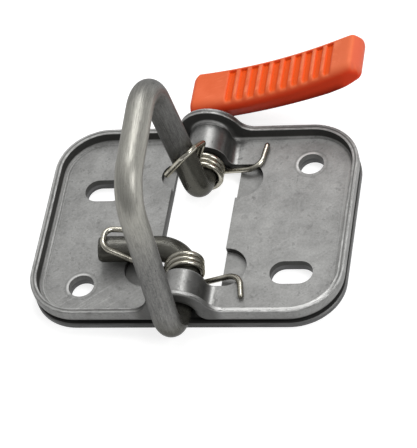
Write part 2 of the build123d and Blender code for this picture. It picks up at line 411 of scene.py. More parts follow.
@dataclass(frozen=True)
class PressedSteel(Coat):
    """Grey pressed sheet: a mottled floor, draw lines and rubbed edges on the rim, with painted shade on the
    walls, under the bends, in the rim's groove, on the saddles' far sides and on the front hoods, and painted
    highlights on the rim's edges and the bolt holes' lips.
    """

    name: str = "pressed_steel"
    outline: Outline = Outline()
    dark: Colour = (0.195, 0.195, 0.19)
    light: Colour = (0.375, 0.375, 0.366)
    # Colour of the painted shade on walls, under bends, in the rim's groove, on the saddles' far sides and on
    # the front hoods
    wall_shade: Colour = (0.042, 0.042, 0.039)
    # Colour of the rim's rubbed edges with their painted highlight, and of the painted highlights on the
    # front rim and the bolt holes' lips
    wear_and_highlight: Colour = (0.60, 0.60, 0.588)
    edge_tint: Colour = (0.5, 0.5, 0.5)
    metallic: float = 0.45
    worn_smooth: float = 0.15
    clouds: Layer = Layer(130.0, 7.0, 0.68, tone=2.1, height=1.0)
    grain: Layer = Layer(1100.0, 4.0, 0.75, tone=1.1, height=0.6)
    pits: Layer = Layer(520.0, 2.0, cut=(0.63, 0.70), tone=-0.4, height=-0.5)
    dents: Layer = Layer(210.0, 2.0, cut=(0.60, 0.72), tone=-0.2, height=-1.0)
    scratches: Layer = Layer(cut=(0.50, 0.66), stretch=(90.0, 1900.0, 90.0), turn=38.0, tone=0.5, height=-0.5)
    scratch_place: Pair = (-34.0, -33.0)
    scratch_reach: float = 15.0
    scratch_least: float = 0.15
    level: Pair = (0.25, 0.75)
    rim: Pair = (5.4, 3.4)
    drawn: Layer = Layer(detail=4.0, rough=0.6, cut=(0.34, 0.66), tone=1.0, height=0.8)
    drawn_scale: Pair = (2.4, 0.02)
    # A real groove along the rim's top, with painted shade in it
    groove: Pair = (1.25, 0.5)
    groove_dark: Pair = (0.4, 0.9)
    # Rubbed edges of the rim, with a painted highlight on them
    edges: Pairs = ((0.40, 0.55), (2.0, 1.0))
    edge_wear_and_highlight: float = 0.6
    patches: Layer = Layer(85.0)
    patch_cut: Pair = (0.34, 0.60)
    patch_least: float = 0.45
    chips: Layer = Layer(detail=5.0, rough=0.7)
    chip_scale: Pair = (1.2, 0.35)
    chip_cut: Pair = (0.36, 0.62)
    # Painted highlight along the front rim's inner edge and hood, broken into chips
    front: Pairs = ((-26.0, -36.0), (-8.0, -2.0))
    front_line: Pair = (1.5, 1.7)
    front_weight: float = 0.4
    front_cut: Pair = (0.68, 0.80)
    holes: Pairs = ((37.2, 26.3), (-37.2, -26.3))
    hole_radius: float = 4.5
    # Painted highlight on one side of each bolt hole's lip
    lip: Pair = (0.42, 0.7)
    lip_way: Pair = (-0.8, 0.6)
    lip_aim: Pair = (-0.1, 0.6)
    lip_highlight: float = 0.85
    ring: Pair = (1.26, 0.63)
    ring_tone: float = 0.3
    # Bores keep less of the painted wall shade
    bore: Pair = (0.3, 0.1)
    bore_light: float = 0.45
    saddle: Pairs = ((14.0, 11.0), (26.5, 27.3), (0.5, 0.2))
    saddle_metal: float = 0.4
    # Painted shade on the side of each saddle that faces away from the light
    lee_shade: Pair = (0.05, 0.75)
    lee_dark: float = 0.6
    # Painted shade on the front hood over the bar, less where the front rim has its painted highlight
    hood_shade: Pairs = ((16.5, 12.0), (-35.0, -37.0))
    hood_dark: float = 0.7
    hood_chips: float = 0.6
    # Painted shade on steep inner walls and on surfaces that face down
    walls: Pairs = ((0.62, 0.30), (1.0, 1.8))
    under_shade: Pair = (-0.15, -0.5)
    wall_dark: float = 0.91

    def bolt_holes(self, x: Sock, y: Sock) -> List[Sock]:
        """Masks of the bolt holes: lips with a painted highlight on one side, dark rings round them, and
        bores.

        Args:
            x: Place along X in millimetres.
            y: Place along Y in millimetres.

        Returns:
            The three masks.
        """
        masks = []
        for hole in self.holes:
            off_x, off_y = x - hole[0], y - hole[1]
            reach = off_x.hypot(off_y)
            off = reach - self.hole_radius
            aim = (off_x * self.lip_way[0] + off_y * self.lip_way[1]) / reach
            lip = off.band(*self.lip) * aim.smooth(*self.lip_aim)
            masks.append((lip, off.band(*self.ring), off.smooth(*self.bore)))
        return [one.at_least(two) for one, two in zip(*masks)]

    def rim_wear_and_highlights(self, x: Sock, y: Sock, inset: Sock, patches: Sock) -> Tuple[Sock, Sock]:
        """Masks of the rim's rubbed edges, which also carry a painted highlight, and of the painted highlight
        broken into chips along its front.

        Args:
            x: Place along X in millimetres.
            y: Place along Y in millimetres.
            inset: Distance inside the outline in millimetres.
            patches: Cloudy value that breaks up the rubbed and highlighted edges.

        Returns:
            The two masks.
        """
        across, along = self.chip_scale
        chips = x.shader.joined(inset * across, x * along, y * along).layer(self.chips)
        outer, inner = (inset.band(*edge) for edge in self.edges)
        edges = outer.at_least(inner) * patches.smooth(*self.patch_cut).between(self.patch_least, 1.0)
        line = inset.band(*self.front_line) * self.front_weight + chips
        return edges * chips.smooth(*self.chip_cut), line.smooth(*self.front_cut) * zone(self.front, y, x)

    def shade(self, shader: Shader) -> None:
        """Build the material's tree.

        Args:
            shader: Builder of the material's tree.
        """
        place = shader.coords()
        x, y, _ = place.millimetres()
        aside, ahead, up = shader.facing()
        inset = self.outline.inset(x, y)
        level = up.smooth(*self.level)
        clouds, patches = place.layer(self.clouds), place.layer(self.patches)
        scratch_x, scratch_y = self.scratch_place
        near = (x - scratch_x).hypot(y - scratch_y).smooth(self.scratch_reach, 0.0)
        across, along = self.drawn_scale
        drawn = shader.joined(inset * across, (x + y) * along).layer(self.drawn) - 0.5
        layers = [
            (self.clouds, clouds),
            (self.scratches, place.layer(self.scratches) * (near + self.scratch_least)),
            (self.drawn, drawn * inset.smooth(*self.rim) * level),
            *((layer, place.layer(layer)) for layer in (self.grain, self.pits, self.dents)),
        ]
        # Rubbed rim edges with a painted highlight, and the chipped painted highlight along the front
        edges, chips_and_highlight = (mask * level for mask in self.rim_wear_and_highlights(x, y, inset, patches))
        lip, ring, bore = self.bolt_holes(x, y)
        # Lighter where rubbed and where highlights are painted on the rim's edges and the bolt holes' lips
        wear_and_highlight = (edges * self.edge_wear_and_highlight).at_least(lip * level * self.lip_highlight).at_least(chips_and_highlight)
        groove = inset.band(*self.groove) * level
        saddle = zone(self.saddle, abs(x), abs(y), abs(ahead))
        # Painted shade on the saddles' far sides
        lee_shade = aside.smooth(*self.lee_shade) * saddle * self.lee_dark
        # Painted shade on the front hood
        hood_shade = zone(self.hood_shade, abs(x), y) * self.hood_dark * (1 - chips_and_highlight * self.hood_chips)
        # Painted shade on the walls and on surfaces that face down, less in the bores and on the saddles
        walls = zone(self.walls, up, inset) * (1 - saddle) * (1 - bore * self.bore_light)
        painted_shade = walls.at_least(up.smooth(*self.under_shade)) * self.wall_dark
        tone = tone_of(layers, self.tone) - ring * self.ring_tone
        colour = wear_and_highlight.mix(tone.toned(self.dark, self.light), self.wear_and_highlight)
        # Painted shade in the rim's groove
        colour = (groove * patches.between(*self.groove_dark) * (1 - chips_and_highlight)).mix(colour, self.wall_shade)
        # All the painted shade of the tray, in one dark colour
        colour = painted_shade.at_least(hood_shade).at_least(lee_shade).mix(colour, self.wall_shade)
        rough = clouds.between(*self.rough) - wear_and_highlight.at_least(saddle) * self.worn_smooth
        self.paint(colour, rough, height_of(layers) - groove, saddle * self.saddle_metal)


@dataclass(frozen=True)
class PlateSteel(Coat):
    """Rolled plate with cloudy scale, dull cut edges, and painted shade along the border under the tray's
    bend and on the side faces round the window.
    """

    name: str = "plate_steel"
    outline: Outline = Outline()
    dark: Colour = (0.18, 0.18, 0.175)
    light: Colour = (0.345, 0.345, 0.337)
    cut: Colour = (0.075, 0.075, 0.076)
    rolled: Colour = (0.13, 0.13, 0.13)
    # Colour of the painted shade along the border and on the side faces round the window
    plate_shade: Colour = (0.055, 0.055, 0.053)
    metallic: float = 0.45
    relief: float = 0.05
    clouds: Layer = Layer(130.0, 7.0, 0.68, tone=2.0, height=1.0)
    grain: Layer = Layer(1100.0, 4.0, 0.75, tone=1.0, height=0.5)
    strata: Layer = Layer(detail=4.0, cut=(0.35, 0.65), stretch=(120.0, 120.0, 1800.0))
    # Painted shade along the top's border, under the tray's bend
    border: Pairs = ((3.4, 2.4), (0.6, 0.9))
    # Painted shade on the side faces near the middle in X, round the window
    window: Pair = (20.0, 16.0)
    window_dark: float = 0.8
    flat: Pair = (0.5, 0.9)

    def shade(self, shader: Shader) -> None:
        """Build the material's tree.

        Args:
            shader: Builder of the material's tree.
        """
        place = shader.coords()
        x, y, _ = place.millimetres()
        up = shader.facing()[2]
        layers = [(layer, place.layer(layer)) for layer in (self.clouds, self.grain)]
        colour = tone_of(layers, self.tone).toned(self.dark, self.light)
        # Painted shade along the border under the tray's bend
        colour = zone(self.border, self.outline.inset(x, y), up).mix(colour, self.plate_shade)
        edge = place.layer(self.strata).mix(self.cut, self.rolled)
        # Painted shade on the side faces round the window
        edge = (abs(x).smooth(*self.window) * self.window_dark).mix(edge, self.plate_shade)
        colour = abs(up).smooth(*self.flat).mix(edge, colour)
        self.paint(colour, layers[0][1].between(*self.rough), height_of(layers))


@dataclass(frozen=True)
class DrawnBar(Coat):
    """Drawn bar: short streaks, nicks, bends that are rubbed and carry a painted highlight, and painted shade
    low down by the pivot, where the bar also has an oily gloss.
    """

    name: str = "drawn_bar"
    # Colour of the painted shade low down by the pivot
    oil_shade: Colour = (0.085, 0.082, 0.066)
    dark: Colour = (0.11, 0.11, 0.107)
    light: Colour = (0.25, 0.248, 0.238)
    # Colour of the rubbed bends with their painted highlight
    bright: Colour = (0.46, 0.45, 0.40)
    edge_tint: Colour = (0.30, 0.30, 0.30)
    tone: float = 0.45
    metallic: float = 0.65
    rough: Pair = (0.34, 0.50)
    streaks: Layer = Layer(1.0, 6.0, 0.7, stretch=(280.0, 2100.0, 2100.0), tone=2.3, height=0.6)
    lines: Layer = Layer(1.0, 2.0, cut=(0.55, 0.68), stretch=(70.0, 3200.0, 3200.0), tone=-0.22, height=-0.4)
    nicks: Layer = Layer(1.0, 2.0, cut=(0.66, 0.73), stretch=(330.0, 640.0, 640.0), tone=-0.4, height=-1.2)
    clouds: Layer = Layer(95.0, 5.0, 0.6, tone=0.4, height=0.4)
    grain: Layer = Layer(1500.0, 3.0, 0.7, tone=1.1, height=0.4)
    # Painted shade low down by the pivot, where the bar is also smoother with oil
    oil_shade_z: Pair = (24.0, 9.0)
    oil_shade_y: Pair = (-6.0, 8.0)
    oil_shade_lift: float = 24.0
    oil_shade_drift: float = 14.0
    oil_shade_dark: float = 0.85
    oil_smooth: float = 0.2
    # Rubbed upper front of the bail, with a painted highlight on it
    rub_and_highlight: Pairs = ((40.0, 68.0), (6.0, -16.0))
    rub_streaks: Pair = (0.3, 0.7)
    rub_least: float = 0.6
    rub_and_highlight_weight: float = 0.7
    rub_smooth: float = 0.04

    def shade(self, shader: Shader) -> None:
        """Build the material's tree.

        Args:
            shader: Builder of the material's tree.
        """
        wire, place = shader.coords(Where.WIRE), shader.coords()
        _, y, z = place.millimetres()
        streaks, clouds = wire.layer(self.streaks), place.layer(self.clouds)
        layers = [
            (self.streaks, streaks),
            (self.clouds, clouds),
            (self.grain, place.layer(self.grain)),
            *((layer, wire.layer(layer)) for layer in (self.lines, self.nicks)),
        ]
        # Painted shade low down by the pivot, which is also made smoother there as oil
        lifted = z - y.smooth(*self.oil_shade_y) * self.oil_shade_lift
        oil_and_shade = (lifted + (clouds - 0.5) * self.oil_shade_drift).smooth(*self.oil_shade_z)
        # Rubbed upper front with a painted highlight
        rub_and_highlight = zone(self.rub_and_highlight, z, y) * streaks.smooth(*self.rub_streaks).between(self.rub_least, 1.0)
        colour = tone_of(layers, self.tone).toned(self.dark, self.light)
        colour = (rub_and_highlight * self.rub_and_highlight_weight).mix(colour, self.bright)
        rough = streaks.between(*self.rough) - rub_and_highlight * self.rub_smooth - oil_and_shade * self.oil_smooth
        self.paint((oil_and_shade * self.oil_shade_dark).mix(colour, self.oil_shade), rough, height_of(layers))


@dataclass(frozen=True)
class SpringWire(Coat):
    """Bright plated wire with fine drawing lines and dull patches."""

    name: str = "spring_wire"
    dark: Colour = (0.195, 0.184, 0.152)
    light: Colour = (0.51, 0.49, 0.425)
    edge_tint: Colour = (0.25, 0.24, 0.20)
    metallic: float = 1.0
    rough: Pair = (0.35, 0.17)
    relief: float = 0.012
    lines: Layer = Layer(stretch=(60.0, 1800.0, 1800.0), tone=0.5, height=1.0)
    dull: Layer = Layer(180.0, 4.0, 0.6)
    dull_cut: Pair = (0.25, 0.62)
    tones: Pair = (0.1, 0.9)

    def shade(self, shader: Shader) -> None:
        """Build the material's tree.

        Args:
            shader: Builder of the material's tree.
        """
        wire = shader.coords(Where.WIRE)
        layers = [(self.lines, wire.layer(self.lines))]
        dull = wire.layer(self.dull)
        tone = dull.smooth(*self.dull_cut).between(*self.tones) + tone_of(layers, 0.0)
        self.paint(tone.toned(self.dark, self.light), dull.between(*self.rough), height_of(layers))


@dataclass(frozen=True)
class MouldedGrip(Coat):
    """Orange moulding with painted shade: redder on its front flank, dark underneath and deeper in the
    grooves; with scuffed ribs and fine texture.
    """

    name: str = "moulded_grip"
    deep: Colour = (0.73, 0.127, 0.041)
    bright: Colour = (0.80, 0.160, 0.062)
    scuff: Colour = (0.94, 0.27, 0.13)
    end: Colour = (0.72, 0.132, 0.066)
    # Colours of painted shade: redder on the front flank, dark red underneath, deeper orange in the grooves
    flank_shade: Colour = (0.86, 0.060, 0.016)
    under_shade: Colour = (0.24, 0.014, 0.005)
    groove: Colour = (0.80, 0.095, 0.010)
    rough: Pair = (0.40, 0.54)
    under_rough: float = 0.4
    specular: float = 0.12
    relief: float = 0.05
    clouds: Layer = Layer(90.0, 4.0, height=1.0)
    cloud_cut: Pair = (0.3, 0.7)
    spark: Layer = Layer(1900.0, 2.0, height=0.6)
    scuffs: Layer = Layer(cut=(0.58, 0.76), stretch=(160.0, 900.0, 300.0), turn=20.0)
    scuff_weight: float = 0.25
    rubs: Layer = Layer(300.0, cut=(0.34, 0.60))
    rub_weight: float = 0.45
    handled: Pair = (40.0, 49.0)
    handled_weight: float = 0.22
    end_tilt: Pair = (0.40, 0.70)
    # Painted shade on the front flank and on faces that turn down
    flank_tilt: Pair = (1.0, 0.20)
    flank_height: Pair = (0.94, 0.68)
    flank_side: Pair = (0.2, -0.3)
    flank_least: float = 0.3
    # Painted shade underneath and in the grooves
    under_height: Pair = (0.52, 0.04)
    groove_depth: Pair = (0.1, 0.75)

    def shade(self, shader: Shader) -> None:
        """Build the material's tree.

        Args:
            shader: Builder of the material's tree.
        """
        place = shader.coords()
        depth, height, rib = shader.coords(Where.RIBS).parts()
        along = place.millimetres()[0]
        tilt, aside, up = shader.facing()
        clouds, spark = place.layer(self.clouds), place.layer(self.spark)
        rubs = rib * place.layer(self.rubs) * self.rub_weight
        handled = along.smooth(*self.handled) * self.handled_weight
        scuffs = (place.layer(self.scuffs) * self.scuff_weight).at_least(rubs).at_least(handled)
        end = tilt.smooth(*self.end_tilt)
        # Painted shade on the front flank and underneath
        turned = up.smooth(*self.flank_tilt) * (1 - end)
        shaded = aside.smooth(*self.flank_side).between(self.flank_least, 1.0)
        flank_shade = height.smooth(*self.flank_height).at_least(turned) * shaded
        low = height.smooth(*self.under_height)
        colour = clouds.smooth(*self.cloud_cut).mix(self.deep, self.bright)
        # Scuffs and end faces, then painted shade on the flank, underneath and in the grooves
        masks = (scuffs, end, flank_shade, low, depth.smooth(*self.groove_depth))
        for mask, over in zip(masks, (self.scuff, self.end, self.flank_shade, self.under_shade, self.groove)):
            colour = mask.mix(colour, over)
        rough = spark.between(*self.rough) + low * self.under_rough
        self.paint(colour, rough, height_of([(self.clouds, clouds), (self.spark, spark)]))


@dataclass(frozen=True)
class FloorWhite(Finish):
    """Grey floor with a glow, so that it is white to the eye and in reflections but lights little."""

    name: str = "floor_white"
    grey: Colour = (0.50, 0.50, 0.50)
    glow: float = 0.74
    rays: Tuple[str, ...] = ("Is Camera Ray", "Is Glossy Ray", "Is Transmission Ray")

    def shade(self, shader: Shader) -> None:
        """Build the material's tree.

        Args:
            shader: Builder of the material's tree.
        """
        outputs = shader.node("ShaderNodeLightPath").socket.node.outputs
        camera, glossy, through = (Sock(shader, outputs[ray]) for ray in self.rays)
        seen = camera.at_least(glossy).at_least(through)
        matt = shader.node("ShaderNodeBsdfDiffuse", None, {"Color": self.grey})
        glow = shader.node("ShaderNodeEmission", None, {"Strength": seen * self.glow})
        both = shader.node("ShaderNodeAddShader", None, {0: matt, 1: glow})
        shader.node("ShaderNodeOutputMaterial", None, {"Surface": both})


# Surfaces


def closed_rings(rings: int, sides: int) -> List[List[int]]:
    """Faces of a tube of rings, with a flat face over each end.

    Ring i holds points i * sides to (i + 1) * sides - 1, and each face joins two
    neighbours on one ring to the same two on the next.

    Args:
        rings: Number of rings.
        sides: Points on each ring.

    Returns:
        Point numbers of each face.
    """
    rows, columns = np.meshgrid(np.arange(rings - 1), np.arange(sides), indexing="ij")
    near, ahead = rows * sides, (rows + 1) * sides
    right = (columns + 1) % sides
    quads = np.stack([near + columns, near + right, ahead + right, ahead + columns], -1).reshape(-1, 4)
    first = np.arange(sides)[::-1]
    last = np.arange(sides) + (rings - 1) * sides
    return quads.tolist() + [first.tolist(), last.tolist()]


def soft_step(value: np.ndarray, low: float, high: float) -> np.ndarray:
    """Smooth step from 0 at low to 1 at high, in either order."""
    share = np.clip((value - low) / (high - low), 0, 1)
    return share * share * (3 - 2 * share)


def put(data: bpy.types.ID) -> bpy.types.Object:
    """Put a mesh, lamp or camera into the scene, as an object of the same name.

    Args:
        data: The mesh, lamp or camera.

    Returns:
        The object, at the origin.
    """
    made = bpy.data.objects.new(data.name, data)
    bpy.context.scene.collection.objects.link(made)
    return made


def new_piece(name: str, rings: np.ndarray, where: Where, marks: np.ndarray) -> bpy.types.Object:
    """Put closed rings of points into a new smooth object.

    Args:
        name: Name of the piece.
        rings: Places in millimetres, by ring and by point of the ring.
        where: Attribute that the piece's finish reads.
        marks: The attribute's three numbers for each point.

    Returns:
        The object, at the origin.
    """
    faces = closed_rings(*rings.shape[:2])
    mesh = bpy.data.meshes.new(name)
    mesh.from_pydata((rings.reshape(-1, 3) * MM).tolist(), [], faces)
    mesh.attributes.new(where.value, "FLOAT_VECTOR", "POINT").data.foreach_set("vector", marks.ravel())
    mesh.polygons.foreach_set("use_smooth", np.ones(len(faces), bool))
    mesh.set_sharp_from_angle(angle=np.radians(SHARP_DEGREES))
    mesh.validate()
    mesh.update()
    return put(mesh)


def dress(piece: bpy.types.Object, material: bpy.types.Material) -> bpy.types.Object:
    """Give a piece one material.

    Args:
        piece: The piece.
        material: Its finish.

    Returns:
        The same piece.
    """
    piece.data.materials.clear()
    piece.data.materials.append(material)
    return piece


# Bent wire and bar


def unit(vectors: np.ndarray) -> np.ndarray:
    """Vectors along the last axis, each over its length."""
    return vectors / np.linalg.norm(vectors, axis=-1, keepdims=True)


@dataclass(frozen=True)
class BentLine:
    """Straight runs joined by round bends."""

    points: np.ndarray
    radii: Sequence[float]
    step: float
    bend_step: float
    least_run: int = 2
    least_bend: int = 4

    def run(self, start: np.ndarray, end: np.ndarray) -> np.ndarray:
        """Points of a straight run: start plus equal shares of the way to end."""
        count = max(self.least_run, int(np.ceil(np.linalg.norm(end - start) / self.step)))
        return start + np.linspace(0, 1, count, endpoint=False)[:, None] * (end - start)

    def bend(self, corner: int) -> np.ndarray:
        """Points of the arc at one inner corner, both ends included.

        The arc has its centre on the inner side of the first tangent point, and a
        point is centre + r (sin(a) along - cos(a) inward) for a from 0 to the turn.

        Args:
            corner: Number of the inner corner.

        Returns:
            Points in order, both ends included.
        """
        before, here, after = self.points[corner:corner + 3]
        along, away = unit(here - before), unit(after - here)
        turn = np.arccos(np.clip(along @ away, -1, 1))
        inward = unit(away - along * np.cos(turn))
        radius = self.radii[corner]
        start = here - along * radius * np.tan(turn / 2)
        count = max(self.least_bend, int(np.ceil(radius * turn / self.bend_step)))
        angle = np.linspace(0, turn, count)[:, None]
        return start + inward * radius + radius * (np.sin(angle) * along - np.cos(angle) * inward)

    def line(self) -> np.ndarray:
        """All points of the line, from its first end to its last.

        Returns:
            Points in order.
        """
        pieces: List[np.ndarray] = []
        last = self.points[0]
        for corner in range(len(self.points) - 2):
            arc = self.bend(corner)
            pieces += [self.run(last, arc[0]), arc[:-1]]
            last = arc[-1]
        return np.vstack(pieces + [self.run(last, self.points[-1]), self.points[-1:]])


@dataclass(frozen=True)
class RoundStock:
    """Round bar or wire carried along a line, with chamfered ends."""

    diameter: float
    edge: float
    sides: int

    def frames(self, line: np.ndarray) -> Tuple[np.ndarray, np.ndarray]:
        """Two directions across a line at each point, turning no more than the line does.

        Args:
            line: Points of the line.

        Returns:
            The two unit vectors for each point.
        """
        along = unit(np.gradient(line, axis=0))

        def carry(across: np.ndarray, ahead: np.ndarray) -> np.ndarray:
            """The last cross direction, squared to the next tangent."""
            return unit(across - ahead * (across @ ahead))

        first = unit(np.cross(along[0], np.eye(3)[np.argmin(np.abs(along[0]))]))
        across = np.array(list(accumulate(along[1:], carry, initial=first)))
        return across, np.cross(along, across)

    def mesh(self, name: str, line: np.ndarray) -> bpy.types.Object:
        """Tube whose points are p(i, j) = line(i) + r(i) (cos a(j) n(i) + sin a(j) b(i)).

        Args:
            name: Name of the piece.
            line: Points of the centre line in millimetres.

        Returns:
            The piece, with its place along the line as the attribute that its finish reads.
        """
        across, beside = self.frames(line)
        length = np.concatenate([[0], np.cumsum(np.linalg.norm(np.diff(line, axis=0), axis=1))])
        ends = np.minimum(length, length[-1] - length)
        radius = (self.diameter / 2 - np.maximum(self.edge - ends, 0))[:, None]
        angle = np.linspace(0, 2 * np.pi, self.sides, endpoint=False)
        cosine, sine = radius * np.cos(angle), radius * np.sin(angle)
        points = line[:, None] + cosine[..., None] * across[:, None] + sine[..., None] * beside[:, None]
        unrolled = np.stack(np.broadcast_arrays(length[:, None], cosine, sine), -1)
        return new_piece(name, points, Where.WIRE, unrolled * MM)


@dataclass(frozen=True)
class Pivot:
    """Pivot axis of the bar, along Y."""

    height: float = 7.1

    def around(self, reach: float, angle: float, y: float) -> np.ndarray:
        """Point at a reach and an angle from +X about the axis."""
        turn = np.radians(angle)
        return np.array([reach * np.cos(turn), y, self.height + reach * np.sin(turn)])


@dataclass
class Grip:
    """Moulded grip: a curved block with round corners, ribs across its top and a sloping tip."""

    middle_y: float = 53.3
    stations: Tuple[float, ...] = (-8.5, 21.5, 56.5)
    top: Tuple[float, ...] = (14.46, 20.79, 35.18)
    bottom: Tuple[float, ...] = (0.82, 9.7, 25.6)
    ends: Pair = (-8.1, 56.5)
    half_top: float = 8.4
    radius_front: float = 3.4
    radius_back: float = 1.4
    lower_x: Pair = (4.0, 44.0)
    half_bottom: Pair = (7.0, 8.4)
    radius_bottom: Pair = (6.0, 2.0)
    least_radius: float = 0.3
    most_share: float = 0.48
    butt_round: float = 1.8
    butt_chamfer: float = 2.0
    tip_round: float = 1.5
    tip_chamfer: float = 0.5
    tip_crease: float = 52.8
    tip_slope: float = 1.45
    tip_soft: float = 0.8
    tip_lift: float = 0.6
    tip_from: float = 50.0
    tip_taper: float = 0.2
    # Span and share by which the grip's painted shade fades out over the tip
    tip_shade_span: Pair = (46.5, 53.5)
    tip_shade_cut: float = 0.5
    groove_count: int = 10
    groove_first: float = 15.0
    groove_pitch: float = 4.4
    groove_foot: float = 0.75
    groove_mouth: float = 1.8
    groove_depth: float = 0.95
    groove_front: Pair = (7.9, 5.4)
    groove_back: Pair = (7.6, 6.9)
    groove_fade: float = 0.6
    rub_fade: Pair = (24.0, 18.0)
    step: float = 0.28
    end_rings: int = 9
    arc_points: int = 13
    top_points: int = 30
    side_points: int = 6

    def places(self) -> Tuple[np.ndarray, np.ndarray]:
        """X of each ring, and how far its section draws in.

        At an end of radius r a ring lies r (1 - cos a) in and draws in by r (1 - sin a).

        Returns:
            X of each ring, and its inset.
        """
        angle = np.linspace(0, np.pi / 2, self.end_rings)
        way, inset = 1 - np.cos(angle), 1 - np.sin(angle)
        first, last = self.ends
        body = np.arange(first + self.butt_round + self.step, last - self.tip_round, self.step)
        x = np.concatenate([first + self.butt_round * way, body, last - self.tip_round * way[::-1]])
        drawn_in = [self.butt_round * inset, np.zeros(len(body)), self.tip_round * inset[::-1]]
        return x, np.concatenate(drawn_in)

    def beyond(self, x: np.ndarray, start: float) -> np.ndarray:
        """Distance beyond a start with a soft beginning: (d + sqrt(d d + e e)) / 2."""
        return (x - start + np.hypot(x - start, self.tip_soft)) / 2

    def curve(self, heights: Sequence[float], x: np.ndarray) -> np.ndarray:
        """Parabola through the heights at the three stations."""
        return np.polyval(np.polyfit(self.stations, heights, 2), x)

    def crest(self, x: np.ndarray) -> np.ndarray:
        """Height of the top: its curve, with a slope down from the tip's crease."""
        return self.curve(self.top, x) - self.tip_slope * self.beyond(x, self.tip_crease)

    def keel(self, x: np.ndarray) -> np.ndarray:
        """Height of the bottom: its curve, lifted by a square term at the tip."""
        share = (x - self.tip_from) / (self.ends[1] - self.tip_from)
        return self.curve(self.bottom, x) + self.tip_lift * np.maximum(share, 0) ** 2

    def grooves(self, x: np.ndarray, y: np.ndarray) -> np.ndarray:
        """Share of the grooves' depth at each place of the top.

        A groove is deepest within its foot of its centre and fades out at its mouth.

        Args:
            x: Station of each ring.
            y: Distance from the middle for each point, towards the back.

        Returns:
            Shares from 0 to 1.
        """
        run = np.concatenate([[0], np.cumsum(np.hypot(np.diff(x), np.diff(self.crest(x))))])
        number = np.clip(np.round((run - self.groove_first) / self.groove_pitch), 0, self.groove_count - 1)
        off = np.abs(run - self.groove_first - number * self.groove_pitch)
        across = soft_step(-y, *self.groove_front) * soft_step(y, *self.groove_back)
        return soft_step(off, self.groove_mouth, self.groove_foot)[:, None] * across

    def circles(self, x: np.ndarray, inset: np.ndarray) -> List[Circle]:
        """Circles in the corners of each ring: low back, top back, top front and low front.

        Args:
            x: Station of each ring.
            inset: How far its section draws in.

        Returns:
            Centre, as Y and Z, and radius of each ring's circle in each corner.
        """
        top, bottom = self.crest(x) - inset, self.keel(x) + inset
        clipped = np.maximum(x - self.ends[1] + self.tip_chamfer, 0)
        clipped += np.maximum(self.ends[0] + self.butt_chamfer - x, 0)
        taper = self.tip_taper * self.beyond(x, self.tip_from)
        back = self.half_top - inset - clipped
        low_half = np.interp(x, self.lower_x, self.half_bottom) - inset
        low_back = np.minimum(low_half, back)
        front, low_front = self.half_top - inset - taper, low_half - taper
        most = self.most_share * (top - bottom)
        sizes = (np.interp(x, self.lower_x, self.radius_bottom), self.radius_back, self.radius_front)
        low, high_back, high_front = (
            np.minimum(np.maximum(size - inset, self.least_radius), most) for size in sizes)
        return [
            (np.stack([low_back - low, bottom + low], -1), low),
            (np.stack([back - high_back, top - high_back], -1), high_back),
            (np.stack([high_front - front, top - high_front], -1), high_front),
            (np.stack([low - low_front, bottom + low], -1), low),
        ]

    @staticmethod
    def touching(here: Circle, there: Circle) -> np.ndarray:
        """Outward angle of the line that touches a ring's circle and the next one to the left.

        It is the angle of the way between their centres, less arccos((r - R) / way).

        Args:
            here: Centres and radii of the first circle.
            there: Centres and radii of the next circle.

        Returns:
            The angle in radians, for each ring.
        """
        way = there[0] - here[0]
        share = (here[1] - there[1]) / np.hypot(way[:, 0], way[:, 1])
        return np.arctan2(way[:, 1], way[:, 0]) - np.arccos(np.clip(share, -1, 1))

    def arcs(self, circles: List[Circle]) -> List[np.ndarray]:
        """Arcs of the corner circles from one touching line to the next, as Y and Z.

        Args:
            circles: Centres and radii of the circles, going round to the left.

        Returns:
            Points of each ring's arc in each corner.
        """
        turns = [self.touching(here, there) for here, there in zip(circles, circles[1:] + circles[:1])]
        share = np.linspace(0, 1, self.arc_points)
        found = []
        for (centre, radius), start, end in zip(circles, turns[-1:] + turns[:-1], turns):
            angle = start[:, None] + ((end - start) % (2 * np.pi))[:, None] * share
            ring = np.stack([np.cos(angle), np.sin(angle)], -1)
            found.append(centre[:, None] + radius[:, None, None] * ring)
        return found

    @staticmethod
    def edge(first: np.ndarray, last: np.ndarray, count: int) -> np.ndarray:
        """Points of each ring between two arcs: equal shares of the way."""
        share = np.linspace(0, 1, count + 2)[1:-1][None, :, None]
        return first[:, -1:] + share * (last[:, :1] - first[:, -1:])

    def rings(self) -> Tuple[np.ndarray, Where, np.ndarray]:
        """Rings of a section with four round corners, ribbed on its top.

        Returns:
            Points of each ring, the attribute's name, and for each point the share of a
            groove's depth, the share of the section's height, which is raised over the tip's
            end so that the finish paints less shade there, and 1 on the ribbed part.
        """
        x, inset = self.places()
        circles = self.circles(x, inset)
        low_back, top_back, top_front, low_front = self.arcs(circles)
        crown = np.concatenate([self.edge(top_back, top_front, self.top_points), top_front], 1)
        above = soft_step(crown[..., 1] - circles[2][0][:, None, 1], 0, self.groove_fade)
        depth = self.grooves(x, crown[..., 0]) * above
        sides = [
            low_back,
            self.edge(low_back, top_back, self.side_points),
            top_back,
            crown - np.stack([np.zeros_like(depth), self.groove_depth * depth], -1),
            self.edge(top_front, low_front, self.side_points),
            low_front,
            self.edge(low_front, low_back, self.side_points),
        ]
        loop = np.concatenate(sides, 1)
        lowest = loop[..., 1].min(1, keepdims=True)
        share = (loop[..., 1] - lowest) / (loop[..., 1].max(1, keepdims=True) - lowest)
